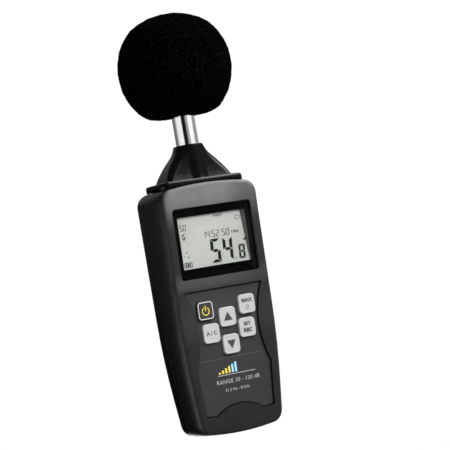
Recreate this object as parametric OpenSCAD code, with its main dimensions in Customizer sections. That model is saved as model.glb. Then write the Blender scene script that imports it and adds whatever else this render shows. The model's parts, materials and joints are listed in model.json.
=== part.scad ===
// Hand-held sound level meter with a half-inch microphone and a foam windscreen.
// Origin on the microphone's axis, level with the bottom of the case.
// +Z runs up the microphone, the display faces -Y and the back faces +Y.

/* [Case] */
// Greatest width of the case
body_w = 65.6; // [62:0.1:68]
// Width of the flat front face at the display
face_w = 60; // [57:0.2:62]
// Height of the case at the middle of its top
body_h = 138.8; // [138:0.2:140]
// How far the back lies behind the microphone's axis
back_y = 13.2; // [13:0.1:14]
// How far the front face lies ahead of the axis at the bottom
face_y = 8.8; // [8.4:0.1:9.4]
// Lean of the front face, which makes the case thicker at the display
face_tilt = 2.58; // [2.3:0.02:2.9]
// Wall thickness of the case
wall = 2.2; // [2:0.1:2.4]

/* [Microphone and windscreen] */
// Diameter of the microphone and its tube
mic_d = 12.7; // [12.7:0.1:12.7]
// Height of the microphone's tip
mic_top = 211.5; // [208:0.5:214]
// Diameter of the windscreen
ball_d = 63.2; // [60:0.2:64]
// Height of the windscreen's flat underside
ball_z = 177.8; // [176:0.2:180]
// Height of the middle of the windscreen
ball_mid = 204.4; // [203:0.2:206]

/* [Display] */
// Width of the window pocket
window_w = 50; // [49:0.2:51]
// Height of the window pocket
window_h = 39.2; // [38:0.2:40]
// Height of the window's middle on the face
window_z = 106.4; // [106:0.1:107]
// Visible width of the display
lcd_w = 43.4; // [42:0.2:44]
// Visible height of the display
lcd_h = 28.5; // [28:0.1:29]

/* [Keys] */
// Width of a key
key_w = 10.3; // [10:0.1:10.4]
// Height of a key on the face
key_h = 10.6; // [10:0.1:10.8]
// Travel of a key
key_travel = 0.8; // [0.4:0.1:0.8]

/* [Battery] */
// Diameter of a cell
cell_d = 10.4; // [10:0.1:10.5]
// Length of a cell's can
cell_l = 43.7; // [43:0.1:44]

/* [Tripod thread] */
// Tapping diameter of the quarter-inch thread
thread_d = 5.1; // [5:0.1:5.2]
// Depth of the thread
thread_l = 9; // [8:0.5:9]

/* [Hidden] */
$fn = 64;
eps = 0.01;          // thickness of the slabs that a hull joins
big = 300;           // larger than the object
gap = 0.05;          // clearance between pieces that only touch

// Case outline, seen from the front
taper_z = 68;        // the sides are parallel above this height
taper_low = 10;      // height at which foot_w is measured
foot_w = 52.4;       // width there
corner_r = 7.5;      // corners of the outline
bend_r = 400;        // how gently the sides turn in
bottom_r = 175;      // radius of the curved bottom end
top_r = 220;         // radius of the arched top
rear_r = 4.5;        // rounding of the back edges
part_y = 2;          // seam between the front and rear shells
lip_in = 1.25;       // inset of the rear shell's lip
lip_h = 1.4;

// Depths below the front face
recess = 1.4;        // keypad recess
overlay_t = 0.35;
lens_v = 0.9;        // front of the lens
lens_t = 1.2;
mask_t = 0.3;
mask_v = lens_v + lens_t;
ledge_v = mask_v + mask_t;
ledge_t = 1;
glass_v = ledge_v + gap;
glass_t = 2;
board_v = 7;         // front of the main board
board_t = 1.6;
lcd_z = 106.85;      // middle of the visible display
glass = [46.4, 31.6];
lens_fit = 0.2;      // clearance round the lens in its pocket

// Keypad outline: width at the top, waist, shoulder and bottom
pad_top = [24.8, 80.2];
pad_waist = 19.5;
pad_waist_z = 57.2;
pad_waist_r = 54;
pad_shoulder = [23.5, 34.2];
pad_foot = [21.8, 11.4];
pad_arch = [15.5, 10.4];
pad_arch_r = 25;
pad_edge = 0.15;

// Key centres on the face
power_at = [-13.3, 69];
weighting_at = [-11.5, 56.2];
up_at = [0, 63.8];
down_at = [0, 48.7];
max_at = [13.3, 69];
record_at = [11.5, 56.2];
KEYS = [power_at, weighting_at, up_at, down_at, max_at, record_at];
key_r = 2.2;
key_fit = 0.2;       // gap round a key in its hole
key_top = -0.2;      // a key's top stands this far proud of the face
key_skirt = 0.4;     // how far its retaining skirt stands out
skirt_v = 2.4;
skirt_t = 0.8;
stem_r = 3.6;
pill_r = 2.5;
pill_t = 0.4;
pill_v = board_v - gap - key_travel - 0.05; // face of the carbon pill, which meets the pads at full travel
mat_v = 6;
mat_hole = 4.2;
mat_collar = 5.1;

// Fixings
BOARD_SCREWS = [[-19.5, 80.8], [19.5, 80.8], [-19.5, 129.6], [19.5, 129.6], [-14, 39.1], [14, 39.1]];
board_boss = 2.3;
CASE_SCREWS = [[-26.3, 122], [26.3, 122], [-26.3, 74], [26.3, 74]];
case_boss = 2.9;
rear_boss = 4.7;
head_y = 4;          // seat of the case screws' heads
head_r = 2.6;
head_t = 1.9;

// Nose: height, half width, half depth and corner radius of each section
NOSE = [[141, 20.6, 9.7, 3], [142.4, 20.2, 9.6, 3], [146, 18.6, 9.2, 4], [151.2, 15, 8.8, 6],
        [156.4, 10.4, 8.5, 8], [158.4, 9.3, 8.3, 8.2], [161, 8.15, 8.15, 8.14]];
flange = [53, 22.6];
flange_y = 0.1;      // middle of the flange
flange_t = 3.9;
flange_r = 4.6;
spigot = [24, 12];
foot = [30, 16];
foot_z = 133;
foot_t = 2.6;

// Microphone
mic_r = mic_d / 2;
tube_in = 5.5;
tube_z = 144;
capsule_z = 203;
grid_z = 206.5;
grid_t = 0.6;
retainer_r = 7.6;
retainer_z = 143.6;
retainer_h = 3.2;
ring_z = 157;

// Battery bay
bay_x = 22.4;
bay_z = [8.8, 61];
bay_top_y = 10.85;
cell_pitch = 10.9;
cell_y = 5.5;
door_x = 21.3;
door_rail = 23;
door_z = 64;
door_v = 11;         // inner face of the door
door_skin = 12.05;   // where the outer plate starts

// Sockets on the right side
jack_z = 112;
jack_y = -1.5;
jack_r = 1.8;
jack_bush = 3;
usb_z = 101;
usb_y = -2.6;
usb = [7.7, 3.9];
dc_z = 90.5;
dc_y = -0.2;
dc_r = 2.85;
dc_bush = 4;
cal_z = 81.6;
cal_y = -1;
cal_r = 1.6;
socket_end = 31.6;   // where the sockets' bushes end, just inside the wall's face
tripod_z = 96;
insert_r = 4.6;
tripod_boss = 6.6;

function arc(c, r, a0, a1, n = 8, first = 0) =
    [for (i = [first:n]) let (a = a0 + (a1 - a0) * i / n) [c[0] + r * cos(a), c[1] + r * sin(a)]];

function rounded(w, h, r, n = 6) = concat(
    arc([w / 2 - r, h / 2 - r], r, 0, 90, n),
    arc([-w / 2 + r, h / 2 - r], r, 90, 180, n),
    arc([-w / 2 + r, -h / 2 + r], r, 180, 270, n),
    arc([w / 2 - r, -h / 2 + r], r, 270, 360, n));

function mirrored(p) = concat(p, [for (i = [len(p) - 1:-1:0]) [-p[i][0], p[i][1]]]);

// Right-hand edge of the keypad area from the arch's foot up to the top corner
waist_c = [pad_waist + pad_waist_r, pad_waist_z];
waist_a = asin((pad_top[1] - 1.5 - pad_waist_z) / pad_waist_r);
waist_b = asin((pad_waist_z - pad_shoulder[1] - 1) / pad_waist_r);
arch_a = asin(pad_arch[0] / pad_arch_r);
function pad_edge_points() = concat(
    arc([0, pad_arch[1] - pad_arch_r * cos(arch_a)], pad_arch_r, 90, 90 - arch_a),
    [pad_foot, pad_shoulder],
    arc(waist_c, pad_waist_r, 180 + waist_b, 180 - waist_a, 16),
    [pad_top]);

// Moves a piece drawn on the XZ plane, with Y as its depth, onto the leaning front face
module on_face() translate([0, -face_y, 0]) rotate([face_tilt, 0, 0]) children();

// Turns a flat shape in X and Z into a plate from depth a to depth b
module plate(a, b) translate([0, b, 0]) rotate([90, 0, 0]) linear_extrude(b - a) children();

module box_plate(w, h, r, a, b, at = [0, 0]) plate(a, b) translate(at) polygon(rounded(w, h, r));

// A round bar along Y at [x, z], from depth a to depth b
module bar(at, r, a, b) translate([at[0], b, at[1]]) rotate([90, 0, 0]) cylinder(r = r, h = b - a);

// A round bar along X, from x = a to x = b
module cross_bar(y, z, r, a, b) translate([a, y, z]) rotate([0, 90, 0]) cylinder(r = r, h = b - a);

// A wire that follows the points p, as one closed tube
module wire(p, r, sides = 8) {
    n = len(p);
    function unit(v) = v / norm(v);
    function along(i) = unit(p[min(i + 1, n - 1)] - p[max(i - 1, 0)]);
    function side(i) = unit(cross(along(i), [1, 0.13, 0.07]));
    pts = [for (i = [0:n - 1]) let (t = along(i), u = side(i), v = cross(t, u))
        for (k = [0:sides - 1]) p[i] + r * (cos(360 * k / sides) * u + sin(360 * k / sides) * v)];
    skin = [for (i = [0:n - 2]) for (k = [0:sides - 1]) let (a = i * sides + k, b = i * sides + (k + 1) % sides)
        each [[a, b, b + sides], [a, b + sides, a + sides]]];
    first = [for (k = [sides - 1:-1:0]) k];
    last = [for (k = [0:sides - 1]) (n - 1) * sides + k];
    polyhedron(pts, concat([first], skin, [last]), convexity = 8);
}

// Right half of the case outline, from the bottom's middle to the top's middle
side_a = atan((body_w - foot_w) / 2 / (taper_z - taper_low));
bend_c = [body_w / 2 - bend_r, taper_z];
side_d = bend_c[0] * cos(side_a) - bend_c[1] * sin(side_a) + bend_r - corner_r;
low_t = bottom_r * cos(side_a) - sqrt(pow(bottom_r - corner_r, 2) - pow(side_d + bottom_r * sin(side_a), 2));
low_c = [side_d * cos(side_a) + low_t * sin(side_a), -side_d * sin(side_a) + low_t * cos(side_a)];
low_a = atan2(low_c[1] - bottom_r, low_c[0]);
arch_c = body_h - top_r;
high_c = [body_w / 2 - corner_r, arch_c + sqrt(pow(top_r - corner_r, 2) - pow(body_w / 2 - corner_r, 2))];
high_a = atan2(high_c[1] - arch_c, high_c[0]);
function half_outline(inset) = concat(
    arc([0, bottom_r], bottom_r - inset, -90, low_a, 8),
    arc(low_c, corner_r - inset, low_a, -side_a, 7, 1),
    arc(bend_c, bend_r - inset, -side_a, 0, 4),
    arc(high_c, corner_r - inset, 0, high_a, 8),
    arc([0, arch_c], top_r - inset, high_a, 90, 6, 1));
function outline(inset = 0) = let (h = half_outline(inset))
    concat(h, [for (i = [len(h) - 2:-1:1]) [-h[i][0], h[i][1]]]);

module case_outline(inset = 0) polygon(outline(inset));

// A solid skinned over closed rings of points, given from the front to the back
module loft(rings) {
    n = len(rings[0]);
    m = len(rings);
    skin = [for (i = [0:m - 2]) for (k = [0:n - 1]) let (a = i * n + k, b = i * n + (k + 1) % n)
        each [[a, b, b + n], [a, b + n, a + n]]];
    polyhedron([for (r = rings) each r],
        concat([[for (k = [n - 1:-1:0]) k]], skin, [[for (k = [0:n - 1]) (m - 1) * n + k]]), convexity = 8);
}

// Rings of the case at a given inset from its outline and its front and back faces
function flat_ring(inset, y) = [for (p = outline(inset)) [p[0], y, p[1]]];
function face_ring(inset, depth) = [for (p = outline(inset))
    [p[0] * face_w / body_w, depth * cos(face_tilt) - p[1] * sin(face_tilt) - face_y,
        depth * sin(face_tilt) + p[1] * cos(face_tilt)]];
function side_ring(inset, depth, t) = let (f = face_ring(inset, depth), g = flat_ring(inset, 0))
    [for (k = [0:len(f) - 1]) let (u = 1 - pow(1 - t, 2.4))
        [f[k][0] + (g[k][0] - f[k][0]) * u, f[k][1] + (g[k][1] - f[k][1]) * t, f[k][2] + (g[k][2] - f[k][2]) * t]];
// The outside is rounded over where the face meets the sides; the inside is left sharp
function face_edge(inset, depth) = inset > 0
    ? [face_ring(inset, depth), side_ring(inset, depth, 0.14)]
    : concat([for (p = [[1.9, 0], [1, 0.11], [0.2, 0.42]]) face_ring(p[0], p[1])],
        [side_ring(0.2, 0, 0.108), side_ring(0.06, 0, 0.19)]);
function front_rings(inset, depth) = concat(face_edge(inset, depth),
    [side_ring(inset, depth, 0.32), side_ring(inset, depth, 0.58)]);
function rear_rings(inset, depth) = let (r = rear_r - inset / 2)
    [for (a = [0:22.5:90]) flat_ring(inset + r * (1 - cos(a)), back_y - depth - r + r * sin(a))];

module case_solid(inset = 0, depth = 0) loft(concat(front_rings(inset, depth), [flat_ring(inset, 0)], rear_rings(inset, depth)));
module front_solid(inset = 0, depth = 0, past = 0)
    loft(concat(front_rings(inset, depth), [flat_ring(inset, 0), flat_ring(inset, part_y + past)]));
module rear_solid(inset = 0, depth = 0, past = 0)
    loft(concat([flat_ring(inset, part_y - past)], rear_rings(inset, depth)));

module keypad_shape(grow = 0) offset(delta = grow) polygon(mirrored(pad_edge_points()));

module spigot_hole() translate([-spigot[0] / 2 - 0.2, -spigot[1] / 2 - 0.2, body_h - 6])
    cube([spigot[0] + 0.4, spigot[1] + 0.4, 12]);

// Holes in the right wall for the sockets and the calibration screw
module side_holes() {
    cross_bar(jack_y, jack_z, jack_bush + 0.15, 24, 40);
    cross_bar(dc_y, dc_z, dc_bush + 0.15, 24, 40);
    translate([24, usb_y - usb[1] / 2 - 0.15, usb_z - usb[0] / 2 - 0.15]) cube([16, usb[1] + 0.3, usb[0] + 0.3]);
    cross_bar(cal_y, cal_z, cal_r, 24, 40);
}

module front_shell() color([0.16, 0.16, 0.17]) {
    difference() {
        union() {
            difference() {
                front_solid();
                front_solid(wall, wall, 1);
            }
            intersection() {
                case_solid(0.3, 0.3);
                union() {
                    on_face() box_plate(window_w + 4.4, window_h + 4.4, 3, wall - 0.4, ledge_v + ledge_t, [0, window_z]);
                    on_face() for (s = BOARD_SCREWS) bar(s, board_boss, wall - 0.4, board_v);
                    for (s = CASE_SCREWS) bar(s, case_boss, -12.5, part_y);
                }
            }
        }
        plate(part_y - lip_h - 0.2, part_y + 1) case_outline(lip_in - 0.15);
        on_face() {
            box_plate(window_w, window_h, 2, -1, ledge_v, [0, window_z]);
            box_plate(glass[0] + 0.4, glass[1] + 0.4, 0.8, 1, 8, [0, lcd_z]);
            plate(-1, recess) keypad_shape(pad_edge);
            for (k = KEYS) box_plate(key_w + 2 * key_fit, key_h + 2 * key_fit, key_r, -1, 4, k);
            for (s = BOARD_SCREWS) bar(s, 1, 2.6, board_v + 1);
        }
        for (s = CASE_SCREWS) bar(s, 1.4, -9.4, part_y + 1);
        spigot_hole();
        side_holes();
    }
}

module rear_shell() color([0.13, 0.13, 0.14]) {
    difference() {
        union() {
            difference() {
                rear_solid();
                rear_solid(wall, wall, 1);
            }
            plate(part_y - lip_h, part_y + 0.5) difference() { case_outline(lip_in); case_outline(wall); }
            intersection() {
                case_solid(0.3, 0.3);
                union() {
                    for (s = CASE_SCREWS) bar(s, rear_boss, part_y + 0.1, back_y);
                    bar([0, tripod_z], tripod_boss, back_y - thread_l - 1.4, back_y);
                    plate(-0.7, back_y - 1)
                        translate([-bay_x - 2, bay_z[0] - 1.2]) square([2 * bay_x + 4, bay_z[1] - bay_z[0] + 2.4]);
                }
            }
        }
        plate(0.1, bay_top_y + gap) translate([-bay_x, bay_z[0]]) square([2 * bay_x, bay_z[1] - bay_z[0]]);
        plate(bay_top_y, door_skin + 0.1) translate([-door_rail - 0.2, -5]) square([2 * door_rail + 0.4, door_z + 5.2]);
        plate(bay_top_y, back_y + 2) translate([-door_x - 0.2, -5]) square([2 * door_x + 0.4, door_z + 5.2]);
        for (s = CASE_SCREWS) {
            bar(s, 1.55, -3, back_y);
            bar(s, head_r + 0.3, head_y, back_y + 2);
        }
        bar([0, tripod_z], insert_r, back_y - thread_l, back_y + 2);
        for (x = [-16.4, 16.4]) translate([x, 3, bay_z[1]]) cylinder(r = 1, h = 3);
        spigot_hole();
        side_holes();
    }
}

module battery_door() color([0.13, 0.13, 0.14]) {
    intersection() {
        case_solid(0.05, 0);
        union() {
            plate(door_v, door_skin) translate([-door_rail, -5]) square([2 * door_rail, door_z + 5]);
            difference() {
                plate(door_skin - gap, back_y + 1) translate([-door_x, -5]) square([2 * door_x, door_z + 5]);
                for (i = [0:5]) translate([-9, back_y - 0.5, door_z - 8 - 1.8 * i]) cube([18, 2, 0.9]);
            }
        }
    }
}

module flange_arch(z, t) {
    c = z - top_r;
    n = 16;
    half = asin((flange[0] / 2 + 1) / top_r);
    polygon(concat(arc([0, c], top_r + t, 90 - half, 90 + half, n), arc([0, c], top_r, 90 + half, 90 - half, n)));
}

module nose_section(s) translate([0, 0, s[0]]) linear_extrude(eps) polygon(rounded(2 * s[1], 2 * s[2], s[3]));

module nose_cone() color([0.14, 0.14, 0.15]) {
    difference() {
        union() {
            for (i = [0:len(NOSE) - 2]) hull() { nose_section(NOSE[i]); nose_section(NOSE[i + 1]); }
            intersection() {
                plate(-20, 20) flange_arch(body_h + gap, flange_t);
                translate([0, flange_y, body_h - 10]) linear_extrude(20) polygon(rounded(flange[0], flange[1], flange_r));
            }
            translate([-spigot[0] / 2, -spigot[1] / 2, foot_z]) cube([spigot[0], spigot[1], body_h + 2 - foot_z]);
            translate([-foot[0] / 2, -foot[1] / 2, foot_z]) cube([foot[0], foot[1], foot_t]);
        }
        translate([0, 0, foot_z - 1]) cylinder(r = 4.5, h = 30);
        translate([0, 0, retainer_z - 0.1]) cylinder(r = retainer_r + 0.1, h = retainer_h + 0.2);
        translate([0, 0, retainer_z]) cylinder(r = mic_r + gap, h = 30);
        translate([0, 0, ring_z]) cylinder(r = 7.5, h = 1.6, center = true);
    }
}

module windscreen() color([0.05, 0.05, 0.05]) {
    difference() {
        translate([0, 0, ball_mid]) sphere(d = ball_d, $fn = 96);
        translate([-big / 2, -big / 2, ball_z - big]) cube(big);
        translate([0, 0, ball_z - 1]) cylinder(r = mic_r + gap, h = mic_top + 0.6 - ball_z + 1);
    }
}

module mic_tube() color([0.85, 0.86, 0.88]) difference() {
    translate([0, 0, tube_z]) cylinder(r = mic_r, h = capsule_z - tube_z);
    translate([0, 0, tube_z - 1]) cylinder(r = tube_in, h = capsule_z - tube_z + 2);
}

module mic_capsule() color([0.6, 0.61, 0.63]) {
    translate([0, 0, capsule_z + gap]) cylinder(r = mic_r, h = grid_z - capsule_z - 2 * gap);
    translate([0, 0, capsule_z - 4]) cylinder(r = tube_in - gap, h = 4 + 2 * gap);
}

// The grid is a thin cup with a ring of slots and one round hole
module mic_grid() color([0.25, 0.25, 0.26]) difference() {
    translate([0, 0, grid_z]) cylinder(r = mic_r, h = mic_top - grid_z);
    translate([0, 0, grid_z - 1]) cylinder(r = mic_r - grid_t, h = mic_top - grid_z - grid_t + 1);
    for (i = [0:7]) rotate([0, 0, 45 * i]) translate([2, -0.6, mic_top - 2]) cube([3, 1.2, 4]);
    translate([0, 0, mic_top - 2]) cylinder(r = 0.8, h = 4);
}

module tube_retainer() color([0.75, 0.62, 0.3]) difference() {
    translate([0, 0, retainer_z]) cylinder(r = retainer_r, h = retainer_h);
    translate([0, 0, retainer_z - 1]) cylinder(r = mic_r + gap / 2, h = retainer_h + 2);
}

module tube_o_ring() color([0.05, 0.05, 0.05])
    translate([0, 0, ring_z]) rotate_extrude() translate([mic_r + gap + 0.5, 0]) circle(r = 0.48, $fn = 24);

module preamp_board() color([0.1, 0.35, 0.18]) {
    translate([-4, -0.4, 152]) cube([8, 0.8, 44]);
    for (z = [160, 170, 180]) translate([-1.8, 0.4, z]) cube([3.6, 1.3, 4]);
}

module mic_cable() color([0.1, 0.1, 0.1])
    wire([[0, 0, 151.9], [0, 0, 146], [0, 0, 140], [0, -0.6, 135], [0, -1.6, 130], [0, -2.2, 126.5], [0, -2.3, 124.6]], 1.1);

module mic_connector() color([0.92, 0.9, 0.84]) on_face() translate([-4, board_v + board_t + gap, 119]) cube([8, 5, 5]);

module display_lens() color([0.6, 0.65, 0.66, 0.35]) on_face()
    box_plate(window_w - 2 * lens_fit, window_h - 2 * lens_fit, 1.8, lens_v, mask_v, [0, window_z]);

module display_mask() color([0.02, 0.02, 0.02]) on_face() plate(mask_v, ledge_v) difference() {
    translate([0, window_z]) polygon(rounded(window_w - 2 * lens_fit, window_h - 2 * lens_fit, 1.8));
    translate([0, lcd_z]) polygon(rounded(lcd_w, lcd_h, 0.3));
}

module lcd_glass() color([0.78, 0.8, 0.76]) on_face()
    box_plate(glass[0], glass[1], 0.5, glass_v, glass_v + glass_t, [0, lcd_z]);

module lcd_backlight() color([0.95, 0.95, 0.95]) on_face()
    box_plate(44, 28.4, 0.5, glass_v + glass_t + gap, glass_v + glass_t + 1.6, [0, lcd_z]);

module lcd_holder() color([0.93, 0.93, 0.9]) on_face() difference() {
    box_plate(47, 35, 1, glass_v + glass_t + gap, board_v - gap, [0, lcd_z]);
    box_plate(44.4, 28.8, 0.6, 0, glass_v + glass_t + 1.7, [0, lcd_z]);
    for (s = [-1, 1]) box_plate(42.4, 1.6, 0.3, 0, board_v + 1, [0, lcd_z + 15.5 * s]);
}

module zebra_strips() color([0.75, 0.4, 0.4]) on_face()
    for (s = [-1, 1]) box_plate(42, 1.2, 0.2, glass_v + glass_t + gap, board_v - gap, [0, lcd_z + 15.5 * s]);

module keypad_overlay() color([0.23, 0.23, 0.24]) on_face() plate(recess - overlay_t, recess) difference() {
    keypad_shape();
    for (k = KEYS) translate(k) polygon(rounded(key_w + 2 * key_fit, key_h + 2 * key_fit, key_r));
}

module keypad_mat() color([0.55, 0.55, 0.56]) on_face() difference() {
    union() {
        box_plate(39.6, 34, 2, mat_v, board_v - gap, [0, 59]);
        for (k = KEYS) bar(k, mat_collar, 4.7, mat_v + 0.2);
    }
    for (k = KEYS) bar(k, mat_hole, 0, board_v + 1);
}

module contact_pads() color([0.85, 0.7, 0.3]) on_face() for (k = KEYS) bar(k, 2.8, board_v - gap, board_v);

module key(at, tint = [0.86, 0.86, 0.86]) color(tint) on_face() {
    box_plate(key_w, key_h, key_r, key_top, skirt_v + skirt_t, at);
    box_plate(key_w + 2 * key_skirt, key_h + 2 * key_skirt, key_r, skirt_v, skirt_v + skirt_t, at);
    bar(at, stem_r, skirt_v + skirt_t - 0.1, pill_v - pill_t);
}

module pill(at) color([0.08, 0.08, 0.08]) on_face() bar(at, pill_r, pill_v - pill_t, pill_v);

module main_board() color([0.1, 0.38, 0.2]) on_face() difference() {
    box_plate(45, 95.4, 2, board_v, board_v + board_t, [0, 84.1]);
    for (s = BOARD_SCREWS) bar(s, 1.1, 0, 12);
}

// Square and small chips on the back of the main board: [x, height, width, length, thickness]
CHIPS = [[0, 92, 12, 12, 1.4], [-11, 76, 6, 8, 1.6], [10, 72, 5, 6, 1.5], [-14, 104, 8, 5, 1.5], [-12, 118, 5, 5, 1.2]];

module board_chips() color([0.06, 0.06, 0.07]) on_face() for (c = CHIPS)
    translate([c[0] - c[2] / 2, board_v + board_t, c[1] - c[3] / 2]) cube([c[2], c[4], c[3]]);

module board_capacitors() color([0.3, 0.35, 0.6]) on_face() {
    for (c = [[-4, 108], [4.5, 108], [-18, 92], [9, 82]]) bar(c, 2.5, board_v + board_t, board_v + board_t + 6);
    translate([-3, board_v + board_t, 75]) cube([8, 3, 3]);
}

module board_screws() color([0.75, 0.75, 0.77]) on_face() for (s = BOARD_SCREWS) {
    difference() {
        bar(s, 1.9, board_v + board_t, board_v + board_t + 1);
        translate([s[0] - 0.3, board_v + board_t + 0.5, s[1] - 1.4]) cube([0.6, 1, 2.8]);
        translate([s[0] - 1.4, board_v + board_t + 0.5, s[1] - 0.3]) cube([2.8, 1, 0.6]);
    }
    bar(s, 0.95, 2.8, board_v + board_t + 0.1);
}

module case_screws() color([0.3, 0.3, 0.31]) for (s = CASE_SCREWS) {
    difference() {
        bar(s, head_r, head_y, head_y + head_t);
        translate([s[0] - 0.4, head_y + 0.9, s[1] - 1.8]) cube([0.8, 2, 3.6]);
        translate([s[0] - 1.8, head_y + 0.9, s[1] - 0.4]) cube([3.6, 2, 0.8]);
    }
    bar(s, 1.35, -9.2, head_y + 0.1);
}

// A socket's plain bush, cut to end just inside the side wall
module socket_bush(y, z, r, from) cross_bar(y, z, r, from, socket_end);

module output_jack() color([0.08, 0.08, 0.08]) difference() {
    union() {
        translate([14, jack_y - 2.9, jack_z - 3]) cube([12, 5.8, 6]);
        socket_bush(jack_y, jack_z, jack_bush, 25);
    }
    cross_bar(jack_y, jack_z, jack_r, 16, 40);
}

module dc_jack() color([0.07, 0.07, 0.07]) difference() {
    union() {
        translate([14, dc_y - 3.8, dc_z - 4.5]) cube([12, 8.4, 9]);
        socket_bush(dc_y, dc_z, dc_bush, 25);
    }
    cross_bar(dc_y, dc_z, dc_r, 20, 40);
}

module dc_pin() color([0.8, 0.8, 0.82]) cross_bar(dc_y, dc_z, 1, 20, socket_end - 2);

module usb_socket() color([0.75, 0.76, 0.78]) difference() {
    translate([22.8, usb_y - usb[1] / 2, usb_z - usb[0] / 2]) cube([socket_end - 22.8, usb[1], usb[0]]);
    translate([24, usb_y - usb[1] / 2 + 0.4, usb_z - usb[0] / 2 + 0.4]) cube([10, usb[1] - 0.8, usb[0] - 0.8]);
}

module usb_tongue() color([0.06, 0.06, 0.06])
    translate([24, usb_y - 0.1, usb_z - 2.6]) cube([socket_end - 24.8, 1.2, 5.2]);

module trimmer_housing() color([0.15, 0.3, 0.6]) difference() {
    translate([21.6, cal_y - 2.55, cal_z - 3]) cube([4.4, 5.1, 6]);
    cross_bar(cal_y, cal_z, 1.85, 23, 30);
}

module trimmer_rotor() color([0.9, 0.9, 0.85]) difference() {
    cross_bar(cal_y, cal_z, 1.8, 23.05, 26.4);
    translate([25.7, cal_y - 0.25, cal_z - 2]) cube([2, 0.5, 4]);
}

module tripod_insert() color([0.8, 0.65, 0.3]) difference() {
    bar([0, tripod_z], insert_r - gap, back_y - thread_l, back_y - 0.1);
    bar([0, tripod_z], thread_d / 2, back_y - thread_l - 1, back_y + 1);
}

function cell_x(i) = (i - 1.5) * cell_pitch;
function cell_up(i) = i % 2 == 0;
cell_nub = 0.8;
plate_t = 0.3;
cell_low = bay_z[0] + plate_t + 0.1;
cell_high = bay_z[1] - plate_t - 0.1;

module cell() {
    cylinder(r = cell_d / 2, h = cell_l);
    translate([0, 0, cell_l - 0.1]) cylinder(r = 1.9, h = cell_nub + 0.1);
}

module batteries() color([0.15, 0.4, 0.2]) for (i = [0:3]) translate([cell_x(i), cell_y, 0])
    if (cell_up(i)) translate([0, 0, cell_high - cell_l - cell_nub]) cell();
    else translate([0, 0, cell_low + cell_l + cell_nub]) mirror([0, 0, 1]) cell();

spring_l = cell_high - cell_low - cell_l - cell_nub - 2 * gap;
spring_turns = 3;
spring_steps = 10;
function spring_points() = [for (i = [0:spring_turns * spring_steps])
    let (t = i / (spring_turns * spring_steps), r = 3.4 - 1.1 * t, a = 360 * spring_turns * t)
    [r * cos(a), r * sin(a), 0.35 + (spring_l - 0.7) * t]];

module battery_springs() color([0.8, 0.8, 0.82]) for (i = [0:3]) translate([cell_x(i), cell_y, 0])
    if (cell_up(i)) translate([0, 0, cell_low + gap]) wire(spring_points(), 0.28, 5);
    else translate([0, 0, cell_high - gap]) rotate([180, 0, 0]) wire(spring_points(), 0.28, 5);

module battery_plates() color([0.75, 0.75, 0.77]) for (i = [0:3]) for (z = [bay_z[0] + gap, bay_z[1] - gap - plate_t])
    translate([cell_x(i) - 4.4, 1, z]) cube([8.8, 9, plate_t]);

module battery_wires() color([0.7, 0.1, 0.1]) for (s = [-1, 1]) {
    wire([[16.4 * s, 3, 61.2], [16.4 * s, 3, 64], [16.2 * s, 2.2, 67], [15.6 * s, 0, 69.5], [15 * s, -2.2, 70.2], [15 * s, -3.1, 70.2]], 0.55, 8);
}

front_shell();
rear_shell();
nose_cone();
battery_door();
windscreen();
mic_tube();
mic_capsule();
mic_grid();
tube_retainer();
tube_o_ring();
preamp_board();
mic_cable();
mic_connector();
display_lens();
display_mask();
lcd_glass();
lcd_backlight();
lcd_holder();
zebra_strips();
keypad_overlay();
keypad_mat();
contact_pads();
key(power_at, [0.1, 0.1, 0.1]);  // key_power
key(weighting_at);  // key_weighting
key(up_at);  // key_up
key(down_at);  // key_down
key(max_at);  // key_max
key(record_at);  // key_record
pill(power_at);  // pill_power
pill(weighting_at);  // pill_weighting
pill(up_at);  // pill_up
pill(down_at);  // pill_down
pill(max_at);  // pill_max
pill(record_at);  // pill_record
main_board();
board_chips();
board_capacitors();
board_screws();
case_screws();
output_jack();
dc_jack();
dc_pin();
usb_socket();
usb_tongue();
trimmer_housing();
trimmer_rotor();
tripod_insert();
batteries();
battery_springs();
battery_plates();
battery_wires();
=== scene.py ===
import json
import math

import bmesh
import bpy
from mathutils import Matrix, Vector, noise


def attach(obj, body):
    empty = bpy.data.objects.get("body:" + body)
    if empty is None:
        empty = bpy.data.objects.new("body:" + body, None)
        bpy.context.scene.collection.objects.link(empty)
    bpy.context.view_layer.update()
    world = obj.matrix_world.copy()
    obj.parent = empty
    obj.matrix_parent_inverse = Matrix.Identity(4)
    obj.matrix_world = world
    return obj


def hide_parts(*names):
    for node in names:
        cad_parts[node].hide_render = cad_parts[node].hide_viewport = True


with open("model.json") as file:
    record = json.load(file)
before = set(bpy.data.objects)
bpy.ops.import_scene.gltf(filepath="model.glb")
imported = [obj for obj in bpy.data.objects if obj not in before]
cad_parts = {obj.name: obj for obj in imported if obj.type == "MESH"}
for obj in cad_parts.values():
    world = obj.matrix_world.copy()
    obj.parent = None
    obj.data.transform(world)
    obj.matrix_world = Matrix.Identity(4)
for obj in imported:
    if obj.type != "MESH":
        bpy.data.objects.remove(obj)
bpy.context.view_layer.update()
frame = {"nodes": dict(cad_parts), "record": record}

nodes = frame["nodes"]
scene = bpy.context.scene
scene.view_settings.view_transform = "Standard"
MM = 0.001

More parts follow.
